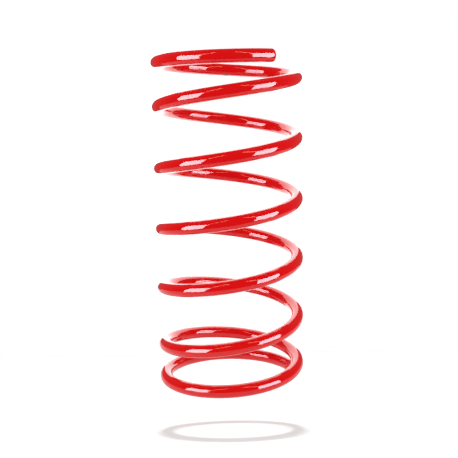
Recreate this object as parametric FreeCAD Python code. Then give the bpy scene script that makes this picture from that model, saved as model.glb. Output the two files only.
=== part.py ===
import FreeCAD, Part
import math
import os

from FreeCAD import Vector

# A cylindrical compression coil spring for a car's suspension, wound right-handed from one round steel bar
# with both ends open and cut square. The bar is one piece of steel that bends everywhere along its length.
# It is divided here into quarter-turn stretches, so that each stretch can carry its own share of the travel.
#
# The origin is on the coil's axis at the level of the underside of the lowest point of the bar.
# +Z runs up the axis. Azimuth is measured from +X towards +Y. Lengths are millimetres.

# Driving dimensions
BAR_DIAMETER = 12.0
MEAN_COIL_DIAMETER = 128.0
TOTAL_TURNS = 6.8
ACTIVE_PITCH = 57.0             # rise per turn of the working coils
LOWER_RAMP_TURNS = 1.7          # turns over which the pitch grows from nothing at the lower cut end
UPPER_RAMP_TURNS = 1.175        # the same at the upper cut end
LOWER_CUT_AZIMUTH = 20.0        # degrees
CUT_RIM_CHAMFER = 0.9           # the rim of each cut end is broken before the bar is coated

# How the bar is divided
STRETCH_TURNS = 0.25
STRETCHES = 27                  # the last one also takes the short remainder up to the upper cut end
SIDES = ("back", "left", "front", "right")   # where a stretch lies, counted from the lower cut end
LOWER_END_STRETCHES = 3
UPPER_END_STRETCHES = 2

# How finely the centreline is followed, and how far a stretch is made too long before it is cut to its sector
ARC_PAIR_TURNS = 0.125
OVERLENGTH_TURNS = 0.02

BAR_RADIUS = BAR_DIAMETER / 2
COIL_RADIUS = MEAN_COIL_DIAMETER / 2
CUT_RIM_TURNS = CUT_RIM_CHAMFER / (2 * math.pi * COIL_RADIUS)
SECTOR_REACH = 3 * COIL_RADIUS


def rise(turns):
    """Height of the centreline above its lowest point, this many turns up from the lower cut end."""
    height = ACTIVE_PITCH * (turns - LOWER_RAMP_TURNS / 2)
    if turns < LOWER_RAMP_TURNS:
        height = ACTIVE_PITCH * turns ** 2 / (2 * LOWER_RAMP_TURNS)
    into_upper_ramp = turns - (TOTAL_TURNS - UPPER_RAMP_TURNS)
    if into_upper_ramp > 0:
        height -= ACTIVE_PITCH * into_upper_ramp ** 2 / (2 * UPPER_RAMP_TURNS)
    return height


def pitch(turns):
    """Rise per turn at this place."""
    from_lower_end = turns / LOWER_RAMP_TURNS
    from_upper_end = (TOTAL_TURNS - turns) / UPPER_RAMP_TURNS
    return ACTIVE_PITCH * max(0.0, min(1.0, from_lower_end, from_upper_end))


def azimuth(turns):
    return math.radians(LOWER_CUT_AZIMUTH) + 2 * math.pi * turns


def point_on_bar(turns):
    angle = azimuth(turns)
    return Vector(COIL_RADIUS * math.cos(angle), COIL_RADIUS * math.sin(angle), BAR_RADIUS + rise(turns))


def direction_of_bar(turns):
    """Unit vector along the bar, pointing up it."""
    angle = azimuth(turns)
    along = Vector(-math.sin(angle), math.cos(angle), pitch(turns) / (2 * math.pi * COIL_RADIUS))
    return along.normalize()


def arc_in_corner(start, corner, end):
    """The arc that touches both legs of a corner with equal legs, at their far ends."""
    cosine = (end - start).Length / 2 / (corner - start).Length
    middle = (start + end) * 0.5
    crown = middle + (corner - middle) * (cosine / (1 + cosine))
    return Part.Arc(start, crown, end).toShape()


def arc_pair(start, leaving, end, arriving):
    """Two arcs from start to end that share a tangent where they meet and keep the given end directions."""
    chord = end - start
    both = leaving + arriving
    opening = 2 * (1 - leaving.dot(arriving))
    leg = (math.sqrt(chord.dot(both) ** 2 + opening * chord.dot(chord)) - chord.dot(both)) / opening
    first_corner = start + leaving * leg
    second_corner = end - arriving * leg
    meeting = (first_corner + second_corner) * 0.5
    return [arc_in_corner(start, first_corner, meeting), arc_in_corner(meeting, second_corner, end)]


def round_bar(bottom, top):
    """The bar from one place to another, both in turns from the lower cut end, with square ends."""
    pairs = math.ceil((top - bottom) / ARC_PAIR_TURNS)
    places = [bottom + (top - bottom) * i / pairs for i in range(pairs + 1)]
    arcs = []
    for here, there in zip(places, places[1:]):
        arcs += arc_pair(point_on_bar(here), direction_of_bar(here), point_on_bar(there), direction_of_bar(there))
    circle = Part.makeCircle(BAR_RADIUS, point_on_bar(bottom), direction_of_bar(bottom))
    return Part.Wire(arcs).makePipe(Part.Face(Part.Wire(circle)))


def sector(bottom, top):
    """A tall wedge around the axis that holds everything between two azimuths."""
    corners = [Vector(0, 0, 0)]
    for share in (0.0, 0.5, 1.0):
        angle = azimuth(bottom + (top - bottom) * share)
        corners.append(Vector(SECTOR_REACH * math.cos(angle), SECTOR_REACH * math.sin(angle), 0))
    outline = Part.makePolygon(corners + corners[:1])
    wedge = Part.Face(outline).extrude(Vector(0, 0, rise(TOTAL_TURNS) + 4 * BAR_DIAMETER))
    wedge.translate(Vector(0, 0, -BAR_DIAMETER))
    return wedge


def cut_rim(turns, outward):
    """The last of the bar at a cut end, where the rim is chamfered."""
    return Part.makeCone(BAR_RADIUS, BAR_RADIUS - CUT_RIM_CHAMFER, CUT_RIM_CHAMFER, point_on_bar(turns), outward)


def stretch(bottom, top):
    """One stretch of the bar, ended by radial faces, which slide up and down past their neighbours'."""
    low_end = bottom <= 0
    high_end = top >= TOTAL_TURNS
    bar_bottom = bottom + CUT_RIM_TURNS if low_end else bottom - OVERLENGTH_TURNS
    bar_top = top - CUT_RIM_TURNS if high_end else top + OVERLENGTH_TURNS
    sector_bottom = bottom - OVERLENGTH_TURNS if low_end else bottom
    sector_top = top + OVERLENGTH_TURNS if high_end else top
    solid = round_bar(bar_bottom, bar_top).common(sector(sector_bottom, sector_top))
    if low_end:
        solid = solid.fuse(cut_rim(bar_bottom, direction_of_bar(bar_bottom) * -1))
    if high_end:
        solid = solid.fuse(cut_rim(bar_top, direction_of_bar(bar_top)))
    return solid.Solids[0]


def stretch_name(number):
    side = SIDES[number % len(SIDES)]
    if number < LOWER_END_STRETCHES:
        return f"lower_end_coil_{side}"
    if number >= STRETCHES - UPPER_END_STRETCHES:
        return f"upper_end_coil_{side}"
    coil = (number - LOWER_END_STRETCHES) // len(SIDES) + 1
    return f"active_coil_{coil}_{side}"


def main():
    os.makedirs("parts", exist_ok=True)
    for number in range(STRETCHES):
        bottom = number * STRETCH_TURNS
        top = TOTAL_TURNS if number == STRETCHES - 1 else bottom + STRETCH_TURNS
        solid = stretch(bottom, top)
        solid.exportStep(f"parts/{stretch_name(number)}.step")


main()
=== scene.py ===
import math

import bmesh
import bpy
from mathutils import Matrix, Vector


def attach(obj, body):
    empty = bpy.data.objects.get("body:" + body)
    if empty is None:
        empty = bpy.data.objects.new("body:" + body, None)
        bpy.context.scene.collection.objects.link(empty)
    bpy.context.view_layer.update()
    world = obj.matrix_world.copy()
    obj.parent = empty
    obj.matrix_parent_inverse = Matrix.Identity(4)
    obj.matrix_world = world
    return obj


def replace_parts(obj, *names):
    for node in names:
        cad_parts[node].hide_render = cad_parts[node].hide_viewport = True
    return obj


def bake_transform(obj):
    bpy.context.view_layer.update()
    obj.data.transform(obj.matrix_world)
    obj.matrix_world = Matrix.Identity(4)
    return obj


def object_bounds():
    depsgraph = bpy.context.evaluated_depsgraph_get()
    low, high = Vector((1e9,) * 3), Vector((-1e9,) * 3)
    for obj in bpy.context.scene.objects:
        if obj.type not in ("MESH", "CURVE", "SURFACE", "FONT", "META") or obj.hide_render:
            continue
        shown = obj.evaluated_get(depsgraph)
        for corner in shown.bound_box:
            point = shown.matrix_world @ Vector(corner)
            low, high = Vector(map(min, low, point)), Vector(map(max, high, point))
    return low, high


# A red powder-coated suspension coil spring, in metres. One round bar is wound right-handed about
# the Z axis. "Turns" are counted up along the bar from the lower cut end to the upper one.

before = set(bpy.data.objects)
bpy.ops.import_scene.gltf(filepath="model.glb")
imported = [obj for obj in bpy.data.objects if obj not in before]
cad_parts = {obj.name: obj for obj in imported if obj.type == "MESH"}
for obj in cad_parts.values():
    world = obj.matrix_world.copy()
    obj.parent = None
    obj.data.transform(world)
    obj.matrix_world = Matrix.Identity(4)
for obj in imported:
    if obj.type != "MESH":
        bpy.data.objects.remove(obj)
cad_low, cad_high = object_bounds()

# ---- the wound bar ----
BAR_DIAMETER = 0.012
TOTAL_TURNS = 6.8
ACTIVE_PITCH = 0.057            # rise per turn between the two tapering end coils
LOWER_RAMP_TURNS = 1.7          # over these the pitch grows from nothing to the full pitch
UPPER_RAMP_TURNS = 1.175        # over these it falls back to nothing
CLOSED_PITCH = 0.022            # pitch at which a coil is no longer pressed closer
LOWER_CUT_AZIMUTH_DEG = 20.0    # from +X towards +Y
CUT_RIM_ROUNDING = 0.0009

BAR_RADIUS = BAR_DIAMETER / 2
COIL_RADIUS = min(cad_high.x - cad_low.x, cad_high.y - cad_low.y) / 2 - BAR_RADIUS

# ---- how the bar is divided ----
STRETCH_TURNS = 0.25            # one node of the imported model
PARTS_PER_STRETCH = 4           # an active stretch is drawn in this many short parts
LOWER_END_STRETCHES = 3         # these lie on the lower seat and stay with it
UPPER_END_STRETCHES = 2         # these lie under the upper seat
SIDES = ("back", "left", "front", "right")
STRETCH_COUNT = int(TOTAL_TURNS / STRETCH_TURNS)     # the last stretch runs on to the upper cut end
BAR_FACETS = 64                 # round the bar
SECTION_SPACING = 0.0011        # along the bar
FEWEST_SECTIONS = 4
SEAM_SECTION = 0.00006          # a very thin ring beside a seam, which keeps the gloss even across it
RIM_STEPS = 5                   # across the rounded rim of a cut end

# ---- where the hook of the coating line touched the bar ----
HOOK_MARK_TURNS = 6.195
HOOK_MARK_TILT_DEG = 24.0       # from straight below the bar, towards the spring's axis

# ---- the grain of the finishes ----
FILM_DRIFT = 0.035
PEEL_SWELL = 0.006
SAW_LINE_SPACING = 0.001954     # across the sawn face
MARK_RAGGEDNESS = 0.0012
PAPER_FIBRE = 0.0025
BARE_STEEL_ROUGHNESS = 0.45
COAT_ROUGHNESS = 0.035

# ---- the floor, and the table top that shows in the gloss only ----
FLOOR_DROP = 0.050              # the paper floor is this far below the spring
FLOOR_FALL_DEG = 16.4           # and falls away behind it
FLOOR_WIDTH = 2.0
FLOOR_FRONT = 0.25
TABLE_DROP = 0.002
TABLE_WIDTH = 1.0
TABLE_DEPTH = 0.6
TABLE_FRONT = 0.27
TABLE_RADIANCE = 0.9

# ---- the two overhead lamps, which light the floor alone (pi would make white paper white) ----
OVERHEAD_HEIGHT = 6.0
OVERHEAD_BEHIND = 0.72          # so that each turn's shadow falls a little nearer than the one below
STRIP_SIZE = (0.6, 0.4)
STRIP_IRRADIANCE = 2.9
FILL_SIZE = (1.0, 1.0)
FILL_IRRADIANCE = 2.75
RING_TURNS = 3                  # the lowest turns, which alone cast the ring on the floor

# ---- the lamps that show in the gloss (a radiance of 1 is white) ----
LAMP_DISTANCE = 1.6             # from the middle of the spring
HANDS = (("left", -1), ("right", 1))
SOFTBOX_AROUND_DEG = 57.5
SOFTBOX_UP_DEG = 6
SOFTBOX_SIZE = (1.08, 1.55)
SOFTBOX_RADIANCE = 16
SOFTBOX_COLOUR = "#FFF6FF"
TUBE_AROUND_DEG = 31
TUBE_UP_DEG = 49
TUBE_LEAN_DEG = 26
TUBE_SIZE = (0.10, 0.76)
TUBE_RADIANCE = 9.0
TUBE_COLOUR = "#FFDCB4"
CARD_UP_DEG = 8
CARD_SIZE = (0.21, 0.40)
CARD_RADIANCE = 2.6
CARD_DISTANCE = 0.14            # close behind the spring
SIDE_LIGHT = 0.6                # how much more even light comes from straight left and right

# ---- the camera ----
CAMERA_PLACE = (-0.0003, -0.7579, 0.2840)
CAMERA_LENS_MM = 63.32
CAMERA_PITCH_DEG = 9.87         # downwards
CAMERA_ROLL_DEG = 1.07


# ---------------------------------------------------------------- the line that the bar follows

def rise(turns):
    """How far the bar's centre has climbed above the lower cut end's."""
    if turns < LOWER_RAMP_TURNS:
        return ACTIVE_PITCH * turns ** 2 / (2 * LOWER_RAMP_TURNS)
    climbed = ACTIVE_PITCH * (turns - LOWER_RAMP_TURNS / 2)
    into_upper_ramp = turns - (TOTAL_TURNS - UPPER_RAMP_TURNS)
    if into_upper_ramp > 0:
        climbed -= ACTIVE_PITCH * into_upper_ramp ** 2 / (2 * UPPER_RAMP_TURNS)
    return climbed


def pitch(turns):
    """Rise per turn at this place."""
    share = min(turns / LOWER_RAMP_TURNS, (TOTAL_TURNS - turns) / UPPER_RAMP_TURNS)
    return ACTIVE_PITCH * max(0.0, min(1.0, share))


def azimuth(turns):
    """Which way this place lies from the axis, in radians from +X towards +Y."""
    return math.radians(LOWER_CUT_AZIMUTH_DEG) + 2 * math.pi * turns


def section_place(turns):
    """The bar's cross-section here: X points out from the axis, Y down and Z along the bar."""
    around = azimuth(turns)
    slope = math.atan2(pitch(turns), 2 * math.pi * COIL_RADIUS)
    outward = Vector((math.cos(around), math.sin(around), 0))
    level = Vector((-math.sin(around), math.cos(around), 0))
    along = level * math.cos(slope) + Vector((0, 0, math.sin(slope)))
    down = along.cross(outward)
    centre = outward * COIL_RADIUS + Vector((0, 0, BAR_RADIUS + rise(turns)))
    place = Matrix((outward, down, along)).transposed().to_4x4()
    place.translation = centre
    return place


def closing(turns):
    """How much of the travel is taken up below this place when the spring is fully pressed."""
    first = LOWER_RAMP_TURNS * CLOSED_PITCH / ACTIVE_PITCH
    last = TOTAL_TURNS - UPPER_RAMP_TURNS * CLOSED_PITCH / ACTIVE_PITCH
    here = min(max(turns, first), last)
    return rise(here) - rise(first) - CLOSED_PITCH * (here - first)


def travel_share(turns):
    """The share of the upper end's travel that this place makes, from 0 to 1."""
    lowest = closing(LOWER_END_STRETCHES * STRETCH_TURNS)
    highest = closing((STRETCH_COUNT - UPPER_END_STRETCHES) * STRETCH_TURNS)
    return min(1.0, max(0.0, (closing(turns) - lowest) / (highest - lowest)))


# ---------------------------------------------------------------- materials

def linear(hex_colour):
    """An sRGB hex colour as linear RGBA."""
    parts = [int(hex_colour[i:i + 2], 16) / 255 for i in (1, 3, 5)]
    return [p / 12.92 if p <= 0.04045 else ((p + 0.055) / 1.055) ** 2.4 for p in parts] + [1.0]


def add_node(tree, kind, settings=None, inputs=None):
    """A node with its settings. An input is given by name or number, and its value is a number, a
    colour, a vector or another node's output."""
    node = tree.nodes.new(kind)
    for name, value in (settings or {}).items():
        setattr(node, name, value)
    for name, value in (inputs or {}).items():
        if isinstance(value, bpy.types.NodeSocket):
            tree.links.new(value, node.inputs[name])
        else:
            node.inputs[name].default_value = value
    return node


def empty_tree(owner):
    """The node tree of a material or world, with nothing in it."""
    owner.use_nodes = True
    owner.node_tree.nodes.clear()
    return owner.node_tree


def hook_mark_place():
    """The point on the underside of the bar where the coating hook carried the spring."""
    tilt = math.radians(HOOK_MARK_TILT_DEG)
    on_section = Vector((-math.sin(tilt), math.cos(tilt), 0)) * BAR_RADIUS
    return section_place(HOOK_MARK_TURNS) @ on_section


def red_powder_coat(name, saw_cut_azimuth=None):
    """Polyester powder coat, sprayed on and baked: one thick, glossy, opaque red film. It gives the
    eye a clean deep red, sharp reflections, and a faint orange peel that wavers in them. Over a
    sawn end the film follows the saw's lines."""
    material = bpy.data.materials.new(name)
    tree = empty_tree(material)
    # The pattern is held on the bar by its resting place, so that it bends with the bar.
    resting = add_node(tree, "ShaderNodeAttribute", {"attribute_name": "resting_place"})
    place = resting.outputs["Vector"]

    # A thicker or thinner film drifts the red over about 35 mm.
    drift = add_node(tree, "ShaderNodeTexNoise", None,
                     {"Vector": place, "Scale": 1 / FILM_DRIFT, "Detail": 2.0, "Roughness": 0.5})
    film = add_node(tree, "ShaderNodeMix", {"data_type": "RGBA"},
                    {"Factor": drift.outputs["Fac"], 6: linear("#D90A10"), 7: linear("#E01212")})

    # Orange peel: real swells are about 2 mm across, and are drawn at 6 mm so that they show.
    swells = add_node(tree, "ShaderNodeTexNoise", None,
                      {"Vector": place, "Scale": 1 / PEEL_SWELL, "Detail": 1.0, "Roughness": 0.4})
    peel = add_node(tree, "ShaderNodeBump", None,
                    {"Height": swells.outputs["Fac"], "Strength": 0.09, "Distance": 0.00004})
    relief = peel.outputs["Normal"]
    if saw_cut_azimuth is not None:
        # A saw leaves parallel lines about 0.3 mm apart, drawn at about 2 mm so that they show. They
        # run aslant over the face. The texture's own wave is 2 pi / 10 long, measured as x + y + z.
        turned = add_node(tree, "ShaderNodeMapping", None,
                          {"Vector": place, "Rotation": (0, 0, -saw_cut_azimuth)})
        lines = add_node(tree, "ShaderNodeTexWave",
                         {"wave_type": "BANDS", "bands_direction": "DIAGONAL"},
                         {"Vector": turned.outputs["Vector"],
                          "Scale": 2 * math.pi / 10 / (math.sqrt(2) * SAW_LINE_SPACING),
                          "Distortion": 1.5, "Detail": 2.0})
        sawn = add_node(tree, "ShaderNodeBump", None,
                        {"Height": lines.outputs["Fac"], "Strength": 0.35, "Distance": 0.00012,
                         "Normal": relief})
        relief = sawn.outputs["Normal"]

    # The hook's point kept the powder off a ragged spot about 4 mm across, where bare steel shows.
    from_mark = add_node(tree, "ShaderNodeVectorMath", {"operation": "DISTANCE"},
                         {0: place, 1: hook_mark_place()})
    ragged = add_node(tree, "ShaderNodeTexNoise", None,
                      {"Vector": place, "Scale": 1 / MARK_RAGGEDNESS, "Detail": 2.0})
    reach = add_node(tree, "ShaderNodeMath", {"operation": "MULTIPLY_ADD"},
                     {0: ragged.outputs["Fac"], 1: MARK_RAGGEDNESS, 2: from_mark.outputs["Value"]})
    bare = add_node(tree, "ShaderNodeMapRange", {"interpolation_type": "SMOOTHSTEP"},
                    {"Value": reach.outputs["Value"], "From Min": 0.0025, "From Max": 0.0030,
                     "To Min": 1.0, "To Max": 0.0})
    colour = add_node(tree, "ShaderNodeMix", {"data_type": "RGBA"},
                      {"Factor": bare.outputs["Result"], 6: film.outputs[2], 7: linear("#565A52")})
    worn = add_node(tree, "ShaderNodeMapRange", None,
                    {"Value": bare.outputs["Result"], "To Min": COAT_ROUGHNESS,
                     "To Max": BARE_STEEL_ROUGHNESS})

    coat = add_node(tree, "ShaderNodeBsdfPrincipled", None,
                    {"Base Color": colour.outputs[2], "Roughness": worn.outputs["Result"],
                     "Metallic": bare.outputs["Result"], "IOR": 1.5, "Normal": relief})
    add_node(tree, "ShaderNodeOutputMaterial", None, {"Surface": coat.outputs["BSDF"]})
    return material


def studio_paper():
    """A roll of matt paper: an even pale floor that takes a soft shadow."""
    material = bpy.data.materials.new("studio_paper")
    tree = empty_tree(material)
    place = add_node(tree, "ShaderNodeTexCoord").outputs["Object"]
    # The fibres clump over a few millimetres.
    fibres = add_node(tree, "ShaderNodeTexNoise", None, {"Vector": place, "Scale": 1 / PAPER_FIBRE})
    tone = add_node(tree, "ShaderNodeMix", {"data_type": "RGBA"},
                    {"Factor": fibres.outputs["Fac"], 6: linear("#AEAEAE"), 7: linear("#B4B4B4")})
    paper = add_node(tree, "ShaderNodeBsdfDiffuse", None, {"Color": tone.outputs[2], "Roughness": 0.9})
    add_node(tree, "ShaderNodeOutputMaterial", None, {"Surface": paper.outputs["BSDF"]})
    return material


# ---------------------------------------------------------------- the bar's pieces

def section_stops(first, last, cut_first, cut_last):
    """Where along the bar a piece has its cross-sections, in turns. A cut end is left the room for
    its rounded rim, and a seam gets its very thin ring."""
    turns_per_metre = 1 / (2 * math.pi * COIL_RADIUS)
    steps = max(FEWEST_SECTIONS, round((last - first) / turns_per_metre / SECTION_SPACING))
    stops = [first + (last - first) * i / steps for i in range(steps + 1)]
    if cut_first:
        del stops[1]
    else:
        stops.insert(1, first + SEAM_SECTION * turns_per_metre)
    if cut_last:
        del stops[-2]
    else:
        stops.insert(-1, last - SEAM_SECTION * turns_per_metre)
    return stops


def close_end(bm, ring, is_cut):
    """Closes one end of a piece: a plain hidden face at a seam, or a sawn face with a rounded rim."""
    bmesh.ops.contextual_create(bm, geom=ring)
    if is_cut:
        bmesh.ops.bevel(bm, geom=ring, offset=CUT_RIM_ROUNDING, offset_type="OFFSET",
                        segments=RIM_STEPS, profile=0.5, affect="EDGES", material=-1,
                        clamp_overlap=True)
    else:
        for edge in ring:
            edge.smooth = False


def wound_piece(name, first, last, materials):
    """The bar from one place to another as a closed mesh, swept along its line."""
    cut_first = first <= 0
    cut_last = last >= TOTAL_TURNS
    stops = section_stops(first, last, cut_first, cut_last)
    bm = bmesh.new()
    bmesh.ops.create_circle(bm, cap_ends=False, radius=BAR_RADIUS, segments=BAR_FACETS,
                            matrix=section_place(first))
    first_ring = bm.edges[:]
    ring = first_ring
    for here, there in zip(stops, stops[1:]):
        swept = bmesh.ops.extrude_edge_only(bm, edges=ring)["geom"]
        moved = [part for part in swept if isinstance(part, bmesh.types.BMVert)]
        ring = [part for part in swept if isinstance(part, bmesh.types.BMEdge)]
        step = section_place(there) @ section_place(here).inverted()
        bmesh.ops.transform(bm, matrix=step, verts=moved)
    close_end(bm, first_ring, cut_first)
    close_end(bm, ring, cut_last)
    for face in bm.faces:
        face.smooth = True
    for at_cut, turns in ((cut_first, first), (cut_last, last)):
        if at_cut:
            sawn_face(bm, section_place(turns))
    bmesh.ops.recalc_face_normals(bm, faces=bm.faces)
    keep_resting_place(bm)
    mesh = bpy.data.meshes.new(name)
    bm.to_mesh(mesh)
    bm.free()
    for material in materials:
        mesh.materials.append(material)
    piece = bpy.data.objects.new(name, mesh)
    bpy.context.scene.collection.objects.link(piece)
    return piece


def sawn_face(bm, place):
    """Gives the flat face of a cut end its own finish, inside a narrow flat border."""
    into = place.inverted()
    flat = [face for face in bm.faces if len(face.verts) == BAR_FACETS
            and abs((into @ face.calc_center_median()).z) < BAR_RADIUS / 100]
    bmesh.ops.inset_region(bm, faces=flat, thickness=CUT_RIM_ROUNDING / 6, use_even_offset=True)
    for face in flat:
        face.material_index = 1


def keep_resting_place(bm):
    """Stores where each point rests, which the coat's pattern is drawn from."""
    layer = bm.verts.layers.float_vector.new("resting_place")
    for vertex in bm.verts:
        vertex[layer] = vertex.co


def stretch_name(index):
    """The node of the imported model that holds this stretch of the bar."""
    side = SIDES[index % len(SIDES)]
    if index < LOWER_END_STRETCHES:
        return f"lower_end_coil_{side}"
    if index >= STRETCH_COUNT - UPPER_END_STRETCHES:
        return f"upper_end_coil_{side}"
    coil = (index - LOWER_END_STRETCHES) // len(SIDES) + 1
    return f"active_coil_{coil}_{side}"


def bend_with_travel(piece, first, last):
    """Works out the piece's two ends and the shares of the travel there, which nothing uses, and bakes
    the piece's placement into its mesh.
    """
    start = section_place(first).translation
    end = section_place(last).translation
    from_ease, to_ease = (0.5 - math.sin(math.asin(1 - 2 * travel_share(t)) / 3) for t in (first, last))
    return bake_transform(piece)


def build_spring(coat, sawn_coats):
    """Makes every piece and returns the ones of the lowest turns."""
    lower_cut, upper_cut = sawn_coats
    lowest_turns = []
    for index in range(STRETCH_COUNT):
        node = stretch_name(index)
        first = index * STRETCH_TURNS
        last = first + STRETCH_TURNS if index < STRETCH_COUNT - 1 else TOTAL_TURNS
        if node.startswith("active"):
            for part in range(PARTS_PER_STRETCH):
                from_turns = first + (last - first) * part / PARTS_PER_STRETCH
                to_turns = first + (last - first) * (part + 1) / PARTS_PER_STRETCH
                piece = wound_piece(f"{node}_part_{part + 1}", from_turns, to_turns, [coat])
                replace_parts(bend_with_travel(piece, from_turns, to_turns), node)
                if to_turns <= RING_TURNS:
                    lowest_turns.append(piece)
        else:
            sawn = lower_cut if index == 0 else upper_cut
            piece = wound_piece(f"{node}_bar", first, last, [coat, sawn])
            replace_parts(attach(piece, node.rsplit("_", 1)[0]), node)
            if last <= RING_TURNS:
                lowest_turns.append(piece)
    return lowest_turns


# ---------------------------------------------------------------- the studio

def staged_sheet(name, width, depth, place, material):
    """A flat sheet of the studio, which is no part of the spring."""
    bm = bmesh.new()
    bmesh.ops.create_grid(bm, x_segments=1, y_segments=1, size=0.5,
                          matrix=place @ Matrix.Diagonal((width, depth, 1, 1)))
    mesh = bpy.data.meshes.new(name)
    bm.to_mesh(mesh)
    bm.free()
    mesh.materials.append(material)
    sheet = bpy.data.objects.new(name, mesh)
    bpy.context.scene.collection.objects.link(sheet)
    return sheet


def lay_floor():
    """The paper floor, which the gloss doesn't show."""
    below_spring = Matrix.Translation((0, 0, cad_low.z - FLOOR_DROP))
    falling = Matrix.Rotation(math.radians(-FLOOR_FALL_DEG), 4, "X")
    forward = Matrix.Translation((0, FLOOR_WIDTH / 2 - FLOOR_FRONT, 0))
    place = below_spring @ falling @ forward
    floor = staged_sheet("floor", FLOOR_WIDTH, FLOOR_WIDTH, place, studio_paper())
    floor.visible_glossy = False
    return floor


def white_table():
    """A lit white table top as the gloss shows it: an even pale band along the bar's underside."""
    material = bpy.data.materials.new("white_table")
    tree = empty_tree(material)
    glow = add_node(tree, "ShaderNodeEmission", None, {"Color": (1, 1, 1, 1), "Strength": TABLE_RADIANCE})
    add_node(tree, "ShaderNodeOutputMaterial", None, {"Surface": glow.outputs["Emission"]})
    return material


def set_table():
    """The table that the spring stands on as its gloss shows it. Nothing else sees it."""
    place = Matrix.Translation((0, TABLE_DEPTH / 2 - TABLE_FRONT, cad_low.z - TABLE_DROP))
    table = staged_sheet("table", TABLE_WIDTH, TABLE_DEPTH, place, white_table())
    table.visible_camera = False
    table.visible_diffuse = False
    table.visible_shadow = False


def direction(around_deg, up_deg):
    """A direction from the spring: 0 is towards the camera, positive turns to the camera's right."""
    around = math.radians(around_deg)
    up = math.radians(up_deg)
    return Vector((math.sin(around) * math.cos(up), -math.cos(around) * math.cos(up), math.sin(up)))


def gloss_lamp(name, around_deg, up_deg, size, radiance, colour="#FFFFFF", distance=LAMP_DISTANCE,
               lean_deg=0):
    """A flat lamp that faces the middle of the spring and shows in its gloss only."""
    lamp = bpy.data.lights.new(name, "AREA")
    lamp.shape = "RECTANGLE"
    width, height = size
    lamp.size = width
    lamp.size_y = height
    lamp.color = linear(colour)[:3]
    lamp.energy = radiance * math.pi * width * height
    light = bpy.data.objects.new(name, lamp)
    bpy.context.scene.collection.objects.link(light)
    way = direction(around_deg, up_deg)
    light.location = (cad_low + cad_high) / 2 + way * distance
    facing = way.to_track_quat("Z", "Y").to_matrix().to_4x4()
    leaning = Matrix.Rotation(math.radians(lean_deg), 4, "Z")
    light.rotation_euler = (facing @ leaning).to_euler()
    light.visible_diffuse = False
    light.visible_camera = False


def hang_gloss_lamps():
    """The lamps that draw the lights along the bar: a large softbox and a warm ceiling tube on each
    hand, and a card behind."""
    for hand, sign in HANDS:
        gloss_lamp(f"{hand}_softbox", sign * SOFTBOX_AROUND_DEG, SOFTBOX_UP_DEG, SOFTBOX_SIZE,
                   SOFTBOX_RADIANCE, SOFTBOX_COLOUR)
    for hand, sign in HANDS:
        gloss_lamp(f"{hand}_ceiling_tube", sign * TUBE_AROUND_DEG, TUBE_UP_DEG, TUBE_SIZE,
                   TUBE_RADIANCE, TUBE_COLOUR, lean_deg=sign * TUBE_LEAN_DEG)
    gloss_lamp("back_card", 180, CARD_UP_DEG, CARD_SIZE, CARD_RADIANCE, distance=CARD_DISTANCE)


def overhead_light(name, floor, size, irradiance):
    """A lamp high above the spring that lights the floor alone."""
    lamp = bpy.data.lights.new(name, "AREA")
    lamp.shape = "ELLIPSE"
    lamp.size, lamp.size_y = size
    lamp.energy = irradiance * math.pi * OVERHEAD_HEIGHT ** 2
    light = bpy.data.objects.new(name, lamp)
    light.location = (0, OVERHEAD_BEHIND, OVERHEAD_HEIGHT)
    bpy.context.scene.collection.objects.link(light)
    lit = bpy.data.collections.new(f"lit_by_{name}")
    lit.objects.link(floor)
    light.light_linking.receiver_collection = lit
    light.visible_glossy = False
    light.visible_camera = False
    return light


def shade_by(light, pieces):
    """Lets only these pieces cast this light's shadow."""
    casting = bpy.data.collections.new(f"shade_of_{light.name}")
    for piece in pieces:
        casting.objects.link(piece)
    light.light_linking.blocker_collection = casting


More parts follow.
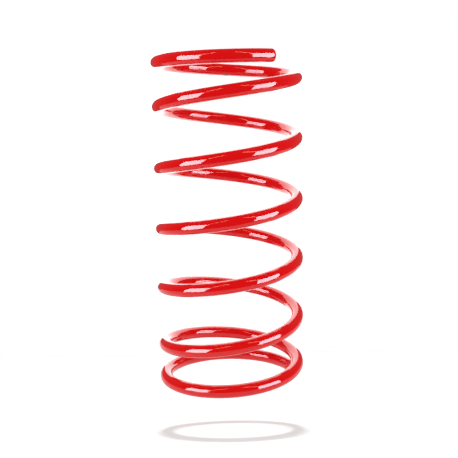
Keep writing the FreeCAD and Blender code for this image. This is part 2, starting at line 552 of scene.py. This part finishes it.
def light_surroundings():
    """The studio all round, which differs with what looks at it. The eye sees a backdrop, white
    behind the spring and light grey elsewhere. Matt surfaces take an even light, a little stronger
    from the sides and from above. The gloss shows a dark room, less dark behind the spring."""
    world = bpy.data.worlds.new("studio")
    bpy.context.scene.world = world
    tree = empty_tree(world)
    # Without sampling of its own the studio is only met by rays, whose kind is known.
    world.cycles.sampling_method = "NONE"
    # A ray's way has Y at 1 straight behind the spring, X at 1 straight right and Z at 1 straight up.
    way = add_node(tree, "ShaderNodeTexCoord").outputs["Generated"]
    split = add_node(tree, "ShaderNodeSeparateXYZ", None, {"Vector": way})
    dark_room = add_node(tree, "ShaderNodeMapRange", {"interpolation_type": "SMOOTHSTEP"},
                         {"Value": split.outputs["Y"], "From Min": -0.3, "From Max": 0.8,
                          "To Min": 0.04, "To Max": 0.15})
    backdrop = add_node(tree, "ShaderNodeMapRange", {"interpolation_type": "SMOOTHSTEP"},
                        {"Value": split.outputs["Y"], "From Min": -0.6, "From Max": 0.75,
                         "To Min": 0.68, "To Max": 1.0})
    from_above = add_node(tree, "ShaderNodeMapRange", None,
                          {"Value": split.outputs["Z"], "From Min": -1.0, "From Max": 1.0,
                           "To Min": 0.62, "To Max": 0.82})
    sideways = add_node(tree, "ShaderNodeMath", {"operation": "ABSOLUTE"}, {0: split.outputs["X"]})
    even_light = add_node(tree, "ShaderNodeMath", {"operation": "MULTIPLY_ADD"},
                          {0: sideways.outputs["Value"], 1: SIDE_LIGHT,
                           2: from_above.outputs["Result"]})
    ray = add_node(tree, "ShaderNodeLightPath")
    unseen = add_node(tree, "ShaderNodeMix", {"data_type": "FLOAT"},
                      {"Factor": ray.outputs["Is Glossy Ray"], 2: even_light.outputs["Value"],
                       3: dark_room.outputs["Result"]})
    shown = add_node(tree, "ShaderNodeMix", {"data_type": "FLOAT"},
                     {"Factor": ray.outputs["Is Camera Ray"], 2: unseen.outputs[0],
                      3: backdrop.outputs["Result"]})
    glow = add_node(tree, "ShaderNodeBackground", None,
                    {"Color": (1, 1, 1, 1), "Strength": shown.outputs[0]})
    add_node(tree, "ShaderNodeOutputWorld", None, {"Surface": glow.outputs["Background"]})


def place_camera():
    """The camera, in front of the spring and a little above its middle."""
    data = bpy.data.cameras.new("camera")
    data.lens = CAMERA_LENS_MM
    data.sensor_width = 36.0
    data.clip_end = 60.0
    camera = bpy.data.objects.new("camera", data)
    bpy.context.scene.collection.objects.link(camera)
    tilt = Matrix.Rotation(math.radians(90 - CAMERA_PITCH_DEG), 4, "X")
    roll = Matrix.Rotation(math.radians(-CAMERA_ROLL_DEG), 4, "Z")
    camera.matrix_world = Matrix.Translation(CAMERA_PLACE) @ tilt @ roll
    bpy.context.scene.camera = camera


# ---------------------------------------------------------------- the making

place_camera()
coat = red_powder_coat("red_powder_coat")
sawn_coats = [red_powder_coat("red_powder_coat_over_lower_saw_cut", azimuth(0)),
              red_powder_coat("red_powder_coat_over_upper_saw_cut", azimuth(TOTAL_TURNS))]
lowest_turns = build_spring(coat, sawn_coats)

set_table()
floor = lay_floor()
strip = overhead_light("overhead_strip", floor, STRIP_SIZE, STRIP_IRRADIANCE)
shade_by(strip, lowest_turns)
fill = overhead_light("overhead_fill", floor, FILL_SIZE, FILL_IRRADIANCE)
fill.data.use_shadow = False
light_surroundings()
hang_gloss_lamps()
bpy.context.scene.view_settings.view_transform = "Standard"
